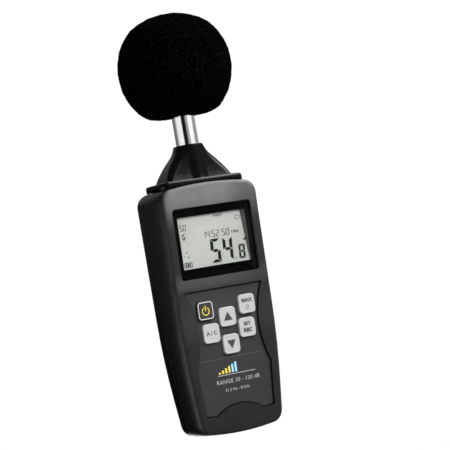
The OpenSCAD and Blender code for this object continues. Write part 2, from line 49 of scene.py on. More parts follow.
# Sizes are in mm. The front face leans back by TILT from y = -FACE_Y at the bottom, as in the CAD model.
# Points on it are given as (x, depth v into the case, height) and moved into place by FACE.
TILT = math.radians(2.58)
FACE_Y = 8.8
FACE = Matrix.Translation((0, -FACE_Y * MM, 0)) @ Matrix.Rotation(TILT, 4, "X")
KEYS = {                    # middle of each key: (x, height)
    "power": (-13.3, 69), "weighting": (-11.5, 56.2), "up": (0, 63.8),
    "down": (0, 48.7), "max": (13.3, 69), "record": (11.5, 56.2),
}
GLASS_V = 2.45              # depth of the liquid crystal glass
OVERLAY_V = 1.05            # depth of the keypad overlay
BALL_D = 63.2               # windscreen's diameter
BALL_Z = 177.8              # its underside
BALL_MID = 204.4            # its middle
MIC_TOP = 211.5             # top of the microphone's grid


# ---------------------------------------------------------------- camera
VIEW_AZ = math.radians(-30.5)
VIEW_EL = math.radians(-1.8)
VIEW_ROLL = math.radians(-9.75)
AIM_Z = 89.45               # the camera faces the Z axis at this height, and is shifted from there
CAMERA_AWAY = 999.4
CAMERA_ACROSS = 8.64
CAMERA_ABOVE = 26.2
LENS = 144


def camera():
    """A camera at the photograph's angle; its roll tips the meter over in the picture."""
    az, el, roll = VIEW_AZ, VIEW_EL, VIEW_ROLL
    back = Vector((math.sin(az) * math.cos(el), -math.cos(az) * math.cos(el), math.sin(el)))
    right = Vector((math.cos(az), math.sin(az), 0))
    up = back.cross(right)
    across = math.cos(roll) * right + math.sin(roll) * up
    above = math.cos(roll) * up - math.sin(roll) * right
    at = (back * CAMERA_AWAY + across * CAMERA_ACROSS + above * CAMERA_ABOVE + Vector((0, 0, AIM_Z))) * MM
    data = bpy.data.cameras.new("camera")
    data.sensor_width, data.lens = 36, LENS
    data.clip_start, data.clip_end = 0.05, 50
    ob = bpy.data.objects.new("camera", data)
    ob.matrix_world = Matrix.Translation(at) @ Matrix((across, above, back)).transposed().to_4x4()
    scene.collection.objects.link(ob)
    scene.camera = ob


camera()


# ---------------------------------------------------------------- materials
def set_stops(node, stops):
    """Gives a colour ramp its stops of (position, colour with alpha), in rising order."""
    elements = node.color_ramp.elements
    while len(elements) < len(stops):
        elements.new(0.5)
    for el, (position, color) in zip(elements, stops):
        el.position, el.color = position, color


class Shader:
    """A node material: a Principled shader with helpers that add texture nodes."""

    def __init__(self, name, color, rough, **sockets):
        self.mat = bpy.data.materials.new(name)
        self.mat.use_nodes = True
        self.tree = self.mat.node_tree
        self.bsdf = self.tree.nodes["Principled BSDF"]
        self.bsdf.inputs["Base Color"].default_value = (*color, 1)
        self.bsdf.inputs["Roughness"].default_value = rough
        for k, v in sockets.items():
            self.bsdf.inputs[k.replace("_", " ")].default_value = v
        self.coords = self.add("ShaderNodeTexCoord").outputs["Object"]
        self.height = None

    def add(self, kind, **values):
        n = self.tree.nodes.new(kind)
        for k, v in values.items():
            if k in n.inputs:
                n.inputs[k].default_value = v
            else:
                setattr(n, k, v)
        return n

    def link(self, a, b):
        self.tree.links.new(a, b)

    def noise(self, size_mm, detail=3.0, rough=0.5, stretch=(1, 1, 1)):
        """A noise whose features are size_mm across, stretched along the object's axes."""
        n = self.add("ShaderNodeTexNoise", Scale=1.0, Detail=detail, Roughness=rough)
        self.link(self.scaled([s / (size_mm * MM) for s in stretch]), n.inputs["Vector"])
        return n.outputs["Fac"]

    def cells(self, size_mm):
        """The distance to the middle of the nearest of many cells, size_mm apart."""
        n = self.add("ShaderNodeTexVoronoi", Scale=1.0)
        self.link(self.scaled([1 / (size_mm * MM)] * 3), n.inputs["Vector"])
        return n.outputs["Distance"]

    def along(self, axis, stops, lean=0.0):
        """A grey by place along one axis plus lean times the height; stops of (mm, grey) in rising order."""
        split = self.add("ShaderNodeSeparateXYZ")
        self.link(self.coords, split.inputs[0])
        lo, hi = stops[0][0], stops[-1][0]
        fit = self.add("ShaderNodeMapRange")
        for k, v in enumerate((lo * MM, hi * MM, 0, 1), 1):
            fit.inputs[k].default_value = v
        up = self.add("ShaderNodeMath", operation="MULTIPLY_ADD")
        self.link(split.outputs["Z"], up.inputs[0])
        up.inputs[1].default_value = lean
        self.link(split.outputs[axis], up.inputs[2])
        self.link(up.outputs[0], fit.inputs[0])
        return self.ramp(fit.outputs[0], [((p - lo) / (hi - lo), c) for p, c in stops])

    def on_face(self, front, sides):
        """One grey on the front face and another on the sides, blended over the rounded edge."""
        return self.along("Y", [(-8.0, front), (-7.2, sides)], math.tan(TILT))

    def times(self, a, b):
        m = self.add("ShaderNodeMixRGB", blend_type="MULTIPLY", Fac=1.0)
        self.link(a, m.inputs[1])
        self.link(b, m.inputs[2])
        return m.outputs[0]

    def darken(self, by):
        """Multiplies the base colour, which is linked already, by another texture."""
        base = self.bsdf.inputs["Base Color"]
        self.link(self.times(base.links[0].from_socket, by), base)

    def scaled(self, by):
        m = self.add("ShaderNodeMapping")
        m.inputs["Scale"].default_value = by
        self.link(self.coords, m.inputs["Vector"])
        return m.outputs["Vector"]

    def ramp(self, fac, stops):
        """Maps fac through stops of (position, grey or colour)."""
        r = self.add("ShaderNodeValToRGB")
        r.color_ramp.interpolation = "EASE"
        set_stops(r, [(p, (*((c,) * 3 if isinstance(c, (int, float)) else c), 1)) for p, c in stops])
        self.link(fac, r.inputs["Fac"])
        return r.outputs["Color"]

    def color(self, fac, stops):
        self.link(self.ramp(fac, stops), self.bsdf.inputs["Base Color"])
        return self

    def rough(self, fac, low, high):
        self.link(self.ramp(fac, [(0.3, low), (0.7, high)]), self.bsdf.inputs["Roughness"])
        return self

    def bump(self, fac, depth_mm, strength=1.0):
        b = self.add("ShaderNodeBump", Distance=depth_mm * MM)
        if isinstance(strength, float):
            b.inputs["Strength"].default_value = strength
        else:
            self.link(strength, b.inputs["Strength"])
        self.link(fac, b.inputs["Height"])
        if self.height:
            self.link(self.height, b.inputs["Normal"])
        self.height = b.outputs["Normal"]
        self.link(self.height, self.bsdf.inputs["Normal"])
        return self


def toned(color, share):
    return tuple(min(1, x * share) for x in color)


def plastic(name, color, rough, grain_mm=0.35, grain=0.012, spread=0.06, done=True, **sockets):
    """Moulded plastic: fine spark-eroded grain, and slow changes of tone and gloss."""
    s = Shader(name, color, rough, **sockets)
    slow = s.noise(9, 4)
    s.color(slow, [(0.3, toned(color, 1 - spread)), (0.7, toned(color, 1 + spread))])
    s.rough(s.noise(4, 5), rough - 0.02, rough + 0.03)
    s.bump(s.noise(grain_mm, 2, 0.6), grain)
    return s.mat if done else s


CROWN = 13                  # depth of the bump that stands for the front's crown


def crowned(s):
    """The front's crown, as a bump: its top band, and less so the strip under the window, lean upwards."""
    face = s.times(s.on_face(1, 0), s.along("X", [(6, 1), (24, 0.72)]))
    crown = s.along("Z", [(30, 1), (50, 0.98), (78, 0.8), (92, 0.64), (112, 0.6), (149, 0)])
    return s.bump(crown, CROWN, face)


def painted_side_shade(s):
    """The sides are painted darker than the front face: a painted shade for the sides, which lie away from
    the light.
    """
    s.darken(s.on_face(1, 0.48))
    return s


def seamed(name, color, rough, **sockets):
    """A shell of the case, with painted shade along the line where the two shells meet, for the shadow in
    the groove there; the same line also carries a bump.
    """
    s = plastic(name, color, rough, done=False, **sockets)
    seam_shade = s.along("Y", [(1.15, 1), (1.5, 0.05), (2.5, 0.05), (2.85, 1)])
    s.darken(seam_shade)
    return s.bump(seam_shade, 0.25)


def metal(name, color, rough, brush=(1, 1, 1), size=0.6, depth=0.0015):
    """A metal with fine grain, drawn out into brush marks where brush stretches it."""
    s = Shader(name, color, rough, Metallic=1.0)
    s.color(s.noise(5, 4), [(0.3, toned(color, 0.93)), (0.7, toned(color, 1.05))])
    grain = s.noise(size, 4, 0.6, brush)
    s.rough(grain, max(0.02, rough * 0.75), rough * 1.3)
    s.bump(grain, depth)
    return s.mat


def foam():
    s = Shader("foam", (0.0005, 0.0005, 0.0005), 1.0, Specular_IOR_Level=0.01)
    s.color(s.noise(1.0, 3, 0.65), [(0.46, 0.0001), (0.55, 0.0004), (0.63, 0.0022), (0.72, 0.009)])
    s.bump(s.cells(0.75), 0.5, 0.9)
    s.bump(s.noise(0.4, 3, 0.7), 0.25, 0.8)
    return s.mat


def board():
    """Green lacquer over paler copper tracks, 3 mm apart."""
    s = Shader("board", (0.02, 0.16, 0.06), 0.35, Coat_Weight=0.3)
    tracks = s.add("ShaderNodeTexBrick", Scale=1.0, offset=0.37)
    tracks.inputs["Mortar Size"].default_value = 0.06
    s.link(s.scaled([1 / (3 * MM)] * 3), tracks.inputs["Vector"])
    s.color(tracks.outputs["Fac"], [(0.0, (0.02, 0.16, 0.06)), (1.0, (0.04, 0.27, 0.1))])
    s.bump(tracks.outputs["Fac"], 0.03)
    return s.mat


def liquid_crystal():
    """The display's grey-green glass, with a painted shadow of the window's frame along its right edge and
    its top.
    """
    s = Shader("display", (0.62, 0.63, 0.59), 0.45)
    tone = s.ramp(s.noise(16, 2), [(0.3, (0.48, 0.494, 0.457)), (0.7, (0.52, 0.534, 0.498))])
    # painted shadow: a dark wedge down the right edge, and a dark band along the top
    shade = s.times(s.along("X", [(27.3, 1.0), (28.2, 0.08), (30.2, 0.12), (30.8, 0.06)], 0.078),
                    s.along("Z", [(119.6, 1.0), (121.0, 0.35)]))
    s.link(s.times(tone, shade), s.bsdf.inputs["Base Color"])
    s.bump(s.noise(0.12, 1), 0.002)
    return s.mat


def lens():
    s = Shader("lens", (1, 1, 1), 0.02, Transmission_Weight=1.0, IOR=1.49)
    s.bump(s.noise(12, 2), 0.004)
    return s.mat


def mask():
    """The black border printed behind the lens, with a painted reflection: a paler strip towards its
    right-hand side.
    """
    s = Shader("mask_ink", (0.003, 0.003, 0.0035), 0.5, Specular_IOR_Level=0.0)
    # painted reflection: the paler strip in the border's right-hand side
    tone = s.along("X", [(21.9, 0.003), (22.4, 0.02), (23.4, 0.018), (23.9, 0.003)])
    s.link(tone, s.bsdf.inputs["Base Color"])
    return s.bump(s.noise(0.2, 2), 0.003).mat


def ink(name, color, rough=0.5, **sockets):
    s = Shader(name, color, rough, **sockets)
    s.color(s.noise(0.4, 3), [(0.3, toned(color, 0.93)), (0.7, toned(color, 1.05))])
    s.bump(s.noise(0.2, 2), 0.003)
    return s.mat


MATS = {
    # case_front carries painted shade on its sides and, like case_rear, where the two shells meet
    "case_front": crowned(painted_side_shade(seamed("case_front", (0.0105, 0.0105, 0.0108), 0.4,
                                           Specular_IOR_Level=0.35))).mat,
    "case_rear": seamed("case_rear", (0.004, 0.004, 0.0042), 0.33, Specular_IOR_Level=0.25).mat,
    "nose": plastic("nose", (0.002, 0.002, 0.0021), 0.22, 0.5, 0.001, Specular_IOR_Level=0.17),
    "foam": foam(),
    "tube_metal": metal("tube_metal", (0.88, 0.875, 0.87), 0.07, (1, 1, 0.03), 0.5, 0.0005),
    "capsule_metal": metal("capsule_metal", (0.55, 0.55, 0.57), 0.3, (0.1, 0.1, 1)),
    "grid_metal": plastic("grid_metal", (0.03, 0.03, 0.032), 0.4),
    "brass": metal("brass", (0.72, 0.55, 0.26), 0.28),
    "seal": plastic("seal", (0.015, 0.015, 0.015), 0.7),
    "circuit_board": board(),
    "cable": plastic("cable", (0.02, 0.02, 0.02), 0.6),
    "cream_plastic": plastic("cream_plastic", (0.74, 0.7, 0.58), 0.45),
    "lens": lens(),
    "mask_ink": mask(),
    "display": liquid_crystal(),
    "diffuser": plastic("diffuser", (0.8, 0.8, 0.8), 0.6),
    "contact_rubber": plastic("contact_rubber", (0.2, 0.2, 0.21), 0.75),
    "carbon": plastic("carbon", (0.01, 0.01, 0.01), 0.8),
    "overlay": crowned(plastic("overlay", (0.0195, 0.0195, 0.02), 0.48, 0.25, 0.01, done=False,
                               Specular_IOR_Level=0.34)).mat,
    "key_grey": plastic("key_grey", (0.295, 0.295, 0.295), 0.5, 0.2, 0.004, 0.03),
    "key_black": plastic("key_black", (0.025, 0.024, 0.022), 0.4, 0.2, 0.004),
    "gold_pads": metal("gold_pads", (0.8, 0.58, 0.22), 0.25),
    "chip": plastic("chip", (0.02, 0.02, 0.022), 0.5, 0.1, 0.004),
    "capacitor": metal("capacitor", (0.6, 0.6, 0.63), 0.3),
    "steel": metal("steel", (0.4, 0.4, 0.41), 0.32),
    "socket_black": plastic("socket_black", (0.012, 0.012, 0.012), 0.45),
    "trimmer_blue": plastic("trimmer_blue", (0.02, 0.08, 0.36), 0.4),
    "cell_wrap": plastic("cell_wrap", (0.03, 0.12, 0.07), 0.3),
    "wire_red": plastic("wire_red", (0.42, 0.01, 0.01), 0.45),
}
INK_DARK = ink("ink_dark", (0.03, 0.03, 0.032))
INK_LIGHT = ink("ink_light", (0.45, 0.45, 0.45))
INK_DIM = ink("ink_dim", (0.27, 0.27, 0.27))
INK_YELLOW = ink("ink_yellow", (0.5, 0.4, 0.04))
SEGMENT = ink("segment", (0.008, 0.01, 0.01), 0.5, Specular_IOR_Level=0.1)
SEGMENT_THIN = ink("segment_thin", (0.06, 0.063, 0.057), 0.5)

SLOTS = {s["node"]: s["material_slot"] for s in frame["record"]["subparts"]}
for name, ob in nodes.items():
    ob.data.materials.clear()
    ob.data.materials.append(MATS[SLOTS[name]])


# ---------------------------------------------------------------- mesh helpers
def add_object(name, mesh, mat, body):
    mesh.materials.clear()
    mesh.materials.append(mat)
    ob = bpy.data.objects.new(name, mesh)
    scene.collection.objects.link(ob)
    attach(ob, body)
    return ob


def to_mesh(name, bm, matrix=None, smooth=True):
    if matrix:
        bm.transform(matrix)
    bmesh.ops.recalc_face_normals(bm, faces=bm.faces)
    for f in bm.faces:
        f.smooth = smooth
    mesh = bpy.data.meshes.new(name)
    bm.to_mesh(mesh)
    bm.free()
    return mesh


def rounded(w, h, r, n=6, at=(0, 0)):
    """Points of a rounded rectangle, counter-clockwise in X and Z, in mm."""
    r = max(r, 0.01)
    out = []
    for cx, cz, a0 in ((1, 1, 0), (-1, 1, 90), (-1, -1, 180), (1, -1, 270)):
        for i in range(n + 1):
            a = math.radians(a0 + 90 * i / n)
            out.append((at[0] + cx * (w / 2 - r) + r * math.cos(a),
                        at[1] + cz * (h / 2 - r) + r * math.sin(a)))
    return out


def skin(bm, rings, closed=False):
    """Joins rings of equal length, lists of points in mm, with quads; closed joins the last to the first."""
    rows = [[bm.verts.new([c * MM for c in p]) for p in ring] for ring in rings]
    n = len(rows[0])
    pairs = list(zip(rows, rows[1:])) + ([(rows[-1], rows[0])] if closed else [])
    for a, b in pairs:
        for k in range(n):
            bm.faces.new((a[k], a[(k + 1) % n], b[(k + 1) % n], b[k]))
    if not closed:
        bm.faces.new(rows[0][::-1])
        bm.faces.new(rows[-1])


def block(bm, w, h, r, profile, at):
    """A rounded block along the depth axis; profile lists (inset, depth) from the front to the back."""
    skin(bm, [[(x, v, z) for x, z in rounded(w - 2 * i, h - 2 * i, r - i, 6, at)] for i, v in profile])


def prism(bm, outline, v0, v1):
    """A flat shape in X and height, as a thin solid from depth v0 to v1."""
    skin(bm, [[(x, v, z) for x, z in outline] for v in (v0, v1)])


def helper(bm):
    """A scratch object for a boolean."""
    mesh = to_mesh("helper", bm)
    ob = bpy.data.objects.new("helper", mesh)
    scene.collection.objects.link(ob)
    return ob


def turns(n):
    """The angles of n equal steps round a circle."""
    return [math.tau * k / n for k in range(n)]


def tube(bm, r, z0, z1):
    skin(bm, [[(r * math.cos(t), r * math.sin(t), z) for t in turns(96)] for z in (z0, z1)])


def cut(ob, tool, operation="DIFFERENCE"):
    """Applies a boolean with a scratch object, which goes away with it."""
    m = ob.modifiers.new("cut", "BOOLEAN")
    m.operation, m.solver, m.object = operation, "EXACT", tool
    bpy.context.view_layer.update()
    graph = bpy.context.evaluated_depsgraph_get()
    mesh = bpy.data.meshes.new_from_object(ob.evaluated_get(graph))
    ob.modifiers.clear()
    ob.data = mesh
    bpy.data.objects.remove(tool)


# ---------------------------------------------------------------- carried-over nodes
def bevel(ob, width, angle):
    """Rounds the edges that are sharper than the angle in degrees."""
    b = ob.modifiers.new("edge", "BEVEL")
    b.width, b.segments, b.limit_method = width * MM, 2, "ANGLE"
    b.angle_limit = math.radians(angle)
    b.harden_normals = True


def soften(name, width):
    """Smooth shading and a small worn edge on a CAD node, with modifiers alone."""
    ob = nodes[name]
    old = ob.data.attributes.get("custom_normal")
    if old:
        ob.data.attributes.remove(old)
    ob.data.polygons.foreach_set("use_smooth", [True] * len(ob.data.polygons))
    w = ob.modifiers.new("weld", "WELD")
    w.merge_threshold = 2e-6
    bevel(ob, width, 32)


soften("front_shell", 0.3)
soften("rear_shell", 0.3)
soften("battery_door", 0.25)
soften("keypad_overlay", 0.1)
for n in ("output_jack", "dc_jack", "case_screws", "board_screws", "tripod_insert", "mic_tube"):
    soften(n, 0.12)


# ---------------------------------------------------------------- nose
# The nose's section by height: half width, half depth, corner radius, and how far its wings lie behind the
# column in the middle
NOSE = [(140.4, 21.2, 10.4, 3.0, 1.35), (142.4, 20.3, 9.9, 3.1, 1.3), (146, 18.5, 9.45, 4.2, 1.5),
        (151.2, 14.9, 8.95, 6.0, 1.65), (154.2, 12.2, 8.7, 7.2, 1.25), (156.4, 10.4, 8.5, 8.0, 0.6),
        (158.4, 9.25, 8.3, 8.2, 0.15), (160.3, 8.4, 8.2, 8.15, 0), (160.8, 8.25, 8.1, 8.05, 0),
        (161, 7.9, 7.9, 7.85, 0)]
COLUMN = 8.2            # half width of the round column in the middle of the nose
FILLET = 0.9            # softness of the hollow between the column and the wings
NOSE_LOW = 140.4
NOSE_SPAN = 20.2        # height up to where the rim is rounded over
NOSE_TOP = 161
FLANGE = (53, 22.6, 4.6)    # width, depth and corner radius of the flange
FLANGE_Y = 0.1
ARCH_R = 220                # the flange follows the case's arched top
# The flange's edge as (inset, height in the middle of the arch), from the underside to the top
FLANGE_EDGE = [(1.6, 138.87), (0.25, 138.87), (0, 139.3), (0, 141.7), (0.35, 142.5), (1.1, 142.77),
               (7, 142.77)]
# Blocks inside the case: size across, and heights
SPIGOT = ((24, 12), 133.2, 139.2)
FOOT = ((30, 16), 133, 135.6)
# Radius and heights of the bores for the lead, the retaining ring, the tube and the rubber ring
BORES = [(4.5, 130, 150), (7.7, 143.5, 146.9), (6.4, 143.6, 165), (7.5, 156.2, 157.8)]


def between(table, z):
    """Smooth interpolation of a table whose first column is z."""
    i = max(k for k in range(len(table) - 1) if table[k][0] <= z + 1e-9)
    p0, p1, p2, p3 = (table[min(max(i + d, 0), len(table) - 1)] for d in (-1, 0, 1, 2))
    t = (z - p1[0]) / (p2[0] - p1[0])
    out = []
    for a, b, c, d in zip(p0[1:], p1[1:], p2[1:], p3[1:]):
        m1 = (c - a) * (p2[0] - p1[0]) / max(p2[0] - p0[0], 1e-6)
        m2 = (d - b) * (p2[0] - p1[0]) / max(p3[0] - p1[0], 1e-6)
        out.append((2 * t**3 - 3 * t**2 + 1) * b + (t**3 - 2 * t**2 + t) * m1
                   + (3 * t**2 - 2 * t**3) * c + (t**3 - t**2) * m2)
    return out


def evenly(line, n):
    """The open line as n + 1 points at equal steps."""
    steps = [math.dist(p, q) for p, q in zip(line, line[1:])]
    out, i, done = [line[0]], 0, 0.0
    for k in range(1, n):
        want = sum(steps) * k / n
        while done + steps[i] < want:
            done += steps[i]
            i += 1
        t = (want - done) / steps[i]
        out.append(tuple(u + (v - u) * t for u, v in zip(line[i], line[i + 1])))
    return out + [line[-1]]


def nose_ring(z):
    """The nose's outline at height z: a round column between two wings that lie a little further back."""
    a, b, r, behind = between(NOSE, z)
    r = min(r, b - 0.02)
    corner = [math.radians(7.5 * k) for k in range(13)]
    line = [(0, b)] + [(a - r + r * math.sin(t), b - r + r * math.cos(t)) for t in corner] + [(a, 0)]
    quarter = []
    for x, y in evenly(line, 44):
        wing = y * (1 - behind / b)
        column = b * math.sqrt(max(0, 1 - (x / COLUMN)**2))
        near = max(FILLET - abs(wing - column), 0) / FILLET * min(1, behind)
        quarter.append((x, max(wing, column) + near**2 * FILLET / 4 if y > 0 else 0))
    half = [(x, -y) for x, y in quarter] + quarter[-2::-1]
    return [(x, y, z) for x, y in half + [(-x, y) for x, y in half[-2:0:-1]]]


def nose():
    cone = bmesh.new()
    zs = [NOSE_LOW + NOSE_SPAN * k / 44 for k in range(45)] + [160.8, 160.92, NOSE_TOP]
    skin(cone, [nose_ring(z) for z in zs])
    ob = helper(cone)
    plate = bmesh.new()
    w, d, r = FLANGE
    arch = lambda x: math.sqrt(ARCH_R**2 - x * x)
    skin(plate, [[(x, y + FLANGE_Y, z - ARCH_R + arch(x))
                  for x, y in rounded(w - 2 * i, d - 2 * i, r - i, 14)] for i, z in FLANGE_EDGE])
    cut(ob, helper(plate), "UNION")
    for (w, d), z0, z1 in (SPIGOT, FOOT):
        box = bmesh.new()
        skin(box, [[(x, y, z) for x, y in rounded(w, d, 0.6, 3)] for z in (z0, z1)])
        cut(ob, helper(box), "UNION")
    for r, z0, z1 in BORES:
        hole = bmesh.new()
        tube(hole, r, z0, z1)
        cut(ob, helper(hole))
    mesh = ob.data
    bpy.data.objects.remove(ob)
    mesh.polygons.foreach_set("use_smooth", [True] * len(mesh.polygons))
    ob = add_object("nose", mesh, MATS["nose"], "case")
    bevel(ob, 0.12, 38)
    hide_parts("nose_cone")


nose()


# ---------------------------------------------------------------- foam windscreen
# How much further out than a sphere the foam lies, by the angle from its top in degrees
FULLER = [(0, -0.45), (12, -0.4), (24, 0.0), (36, 0.65), (48, 0.95), (60, 0.85), (75, 0.6), (90, 0.5),
          (105, 0.62), (120, 0.85), (135, 0.95), (180, 1.0)]
BALL_R = BALL_D / 2 - 0.35
BALL_LOW = BALL_Z - BALL_MID
SHOULDER = 0.24             # the shoulder leaves the ball this far above the underside, in radians
UNDERSIDE_R = 11.7          # where the shoulder runs into the flat underside
MOUTH_R = 7.2               # the socket's rounded mouth
SOCKET_R = 6.4              # the socket for the microphone
SOCKET_TOP = MIC_TOP + 0.6
PORE = 1.25                 # width of the foam's pits
LUMPS = [(0.22, 0.9), (0.28, 3.1), (0.2, 9)]        # unevenness of the foam as (height, width)


def foam_profile():
    """(radius, height from the ball's middle): down the ball, over a shoulder, in below, up the socket."""
    path = []
    a_end = math.asin(BALL_LOW / BALL_R)
    for k in range(1, 151):
        a = math.pi / 2 + (a_end + SHOULDER - math.pi / 2) * k / 150
        r = BALL_R + between(FULLER, 90 - math.degrees(a))[0]
        path.append((r * math.cos(a), r * math.sin(a)))
    r0, z0 = path[-1]
    r1, z1 = r0 - 3.4, BALL_LOW - 0.15
    for t in (k / 22 for k in range(1, 23)):
        path.append(((1 - t)**2 * r0 + 2 * t * (1 - t) * r1 + t * t * UNDERSIDE_R,
                     (1 - t)**2 * z0 + 2 * t * (1 - t) * z1 + t * t * BALL_LOW))
    path += [(UNDERSIDE_R + (MOUTH_R - UNDERSIDE_R) * k / 12, BALL_LOW) for k in range(1, 13)]
    path += [(6.75, BALL_LOW + 0.12), (6.45, BALL_LOW + 0.6)]
    height = SOCKET_TOP - BALL_MID - BALL_LOW - 0.6
    return path + [(SOCKET_R, BALL_LOW + 0.6 + height * k / 19) for k in range(1, 20)]


def windscreen():
    bm = bmesh.new()
    around = turns(400)
    rows = []
    for r, z in foam_profile():
        rows.append([bm.verts.new((r * math.cos(t) * MM, r * math.sin(t) * MM, (BALL_MID + z) * MM))
                     for t in around])
    top = bm.verts.new((0, 0, (BALL_MID + BALL_R + FULLER[0][1]) * MM))
    end = bm.verts.new((0, 0, SOCKET_TOP * MM))
    steps = [(k, (k + 1) % len(around)) for k in range(len(around))]
    for k, j in steps:
        bm.faces.new((top, rows[0][k], rows[0][j]))
        bm.faces.new((end, rows[-1][j], rows[-1][k]))
    for a, b in zip(rows, rows[1:]):
        for k, j in steps:
            bm.faces.new((a[k], b[k], b[j], a[j]))
    bm.normal_update()
    bore = {v for row in rows[-22:] for v in row} | {end}      # the socket and its mouth stay smooth
    moves = []
    for v in bm.verts:
        if v in bore:
            continue
        p = v.co / MM
        pit = max(0.0, 0.42 - noise.voronoi(p / PORE)[0][0]) * 0.95
        lump = sum(height * noise.noise(p / width) for height, width in LUMPS)
        moves.append((v, v.normal * MM * (lump - pit)))
    for v, d in moves:
        v.co += d
    mesh = to_mesh("windscreen_foam", bm)
    ob = add_object("windscreen_foam", mesh, MATS["foam"], "windscreen")
    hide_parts("windscreen")


windscreen()


# ---------------------------------------------------------------- keys
KEY_W, KEY_H, KEY_R = 10.3, 10.6, 2.2       # width, height and corner radius
# (inset, depth): a flat middle, a faint groove, then a rolled edge, the side, the skirt and the back
KEY_PROFILE = [(3.4, -0.12), (2.2, -0.12), (1.75, -0.1), (1.35, -0.06), (1.1, -0.12), (0.75, -0.19),
               (0.42, -0.2), (0.2, -0.13), (0.06, 0.02), (0, 0.25), (0, 2.4), (-0.4, 2.45), (-0.4, 3.15),
               (-0.3, 3.2), (2, 3.2)]
STEM_R = 3.6                                # the stem behind a key, and its depths
STEM_V = (3.1, 5.7)


def key(name):
    bm = bmesh.new()
    block(bm, KEY_W, KEY_H, KEY_R, KEY_PROFILE, KEYS[name])
    x, z = KEYS[name]
    skin(bm, [[(x + STEM_R * math.cos(t), v, z + STEM_R * math.sin(t)) for t in turns(48)] for v in STEM_V])
    slot = "key_black" if name == "power" else "key_grey"
    cap = "keycap_" + name
    ob = add_object(cap, to_mesh(cap, bm, FACE), MATS[slot], "key_" + name)
    m = ob.modifiers.new("normals", "WEIGHTED_NORMAL")
    m.keep_sharp = True
    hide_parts("key_" + name)


def flat_piece(name, outlines, v0, v1, mat, body):
    """Thin printed or moulded shapes on the front, as one object."""
    bm = bmesh.new()
    for o in outlines:
        prism(bm, o, v0, v1)
    return add_object(name, to_mesh(name, bm, FACE, smooth=False), mat, body)


def ring_piece(name, outer, inner, v0, v1, mat, body):
    """A flat frame between two outlines with the same number of points."""
    bm = bmesh.new()
    edges = ((outer, v0), (outer, v1), (inner, v1), (inner, v0))
    skin(bm, [[(x, v, z) for x, z in outline] for outline, v in edges], closed=True)
    return add_object(name, to_mesh(name, bm, FACE, smooth=False), mat, body)


def words(name, text, size, at, v0, v1, mat, body, spacing=1.0, bold=0.0):
    """Raised lettering on the front face, size in mm, centred at (x, height)."""
    curve = bpy.data.curves.new(name, "FONT")
    curve.body, curve.size, curve.align_x, curve.align_y = text, size * MM, "CENTER", "CENTER"
    curve.space_character = spacing
    curve.offset = bold * MM
    curve.extrude = (v1 - v0) / 2 * MM
    curve.resolution_u = 3
    ob = bpy.data.objects.new(name, curve)
    scene.collection.objects.link(ob)
    bpy.context.view_layer.update()
    mesh = bpy.data.meshes.new_from_object(ob.evaluated_get(bpy.context.evaluated_depsgraph_get()))
    bpy.data.objects.remove(ob)
    upright = Matrix.Rotation(math.pi / 2, 4, "X")
    mesh.transform(FACE @ Matrix.Translation((at[0] * MM, (v0 + v1) / 2 * MM, at[1] * MM)) @ upright)
    return add_object(name, mesh, mat, body)


def arc(r, angles, at):
    """Points round (x, height), by angles in degrees clockwise from straight up."""
    return [(at[0] + r * math.sin(math.radians(a)), at[1] + r * math.cos(math.radians(a))) for a in angles]


def circle(r, n, at):
    return arc(r, [360 * k / n for k in range(n)], at)


def band(r0, r1, a0, a1, at):
    """An arc-shaped strip."""
    angles = [a0 + (a1 - a0) * k / 40 for k in range(41)]
    return arc(r1, angles, at) + arc(r0, angles[::-1], at)


def rect(cx, cz, w, h):
    return [(cx + sx * w / 2, cz + sz * h / 2) for sx, sz in ((-1, -1), (1, -1), (1, 1), (-1, 1))]


for k in KEYS:
    key(k)

KEY_INK = (-0.14, -0.02)        # depths of the printing on the keys
ARROW = [(-2.8, -2.1), (2.8, -2.1), (0, 2.7)]

x, z = KEYS["power"]
ring_piece("power_frame", rounded(9.2, 9.5, 1.7, 6, (x, z)), rounded(8.4, 8.7, 1.3, 6, (x, z)),
           -0.21, -0.1, INK_LIGHT, "key_power")
flat_piece("power_symbol", [band(1.85, 2.35, 28, 332, (x, z - 0.3)), rect(x, z + 1.35, 0.55, 2.9)],
           -0.15, -0.02, INK_YELLOW, "key_power")
x, z = KEYS["up"]
flat_piece("up_arrow", [[(x + px, z + pz) for px, pz in ARROW]], *KEY_INK, INK_DARK, "key_up")
x, z = KEYS["down"]
flat_piece("down_arrow", [[(x - px, z - pz) for px, pz in ARROW]], *KEY_INK, INK_DARK, "key_down")
x, z = KEYS["max"]
words("max_word", "MAX", 2.9, (x, z + 1.9), *KEY_INK, INK_DARK, "key_max", 1.1, 0.16)
ring_piece("lamp_bulb", circle(0.95, 32, (x, z - 1.5)), circle(0.66, 32, (x, z - 1.5)),
           *KEY_INK, INK_DARK, "key_max")
flat_piece("lamp_base", [rect(x, z - 2.75, 0.95, 0.22), rect(x, z - 3.15, 0.7, 0.22)],
           *KEY_INK, INK_DARK, "key_max")
x, z = KEYS["weighting"]
words("weighting_word", "A / C", 3.0, (x, z), *KEY_INK, INK_DARK, "key_weighting", 1.0, 0.1)
x, z = KEYS["record"]
words("set_word", "SET", 2.7, (x, z + 1.9), *KEY_INK, INK_DARK, "key_record", 1.05, 0.15)
words("record_word", "REC", 2.9, (x, z - 1.7), *KEY_INK, INK_DARK, "key_record", 1.05, 0.18)


# ---------------------------------------------------------------- printing and a painted shadow on the keypad
PRINT = (OVERLAY_V - 0.025, OVERLAY_V + 0.03)      # depths of the printing on the overlay
FOOT_R, FOOT_Z = 25, -9.215                         # arch at the keypad's foot: radius, height of its centre
WAIST_R, WAIST_X, WAIST_Z = 54, 73.5, 57.2          # hollow side: radius and centre


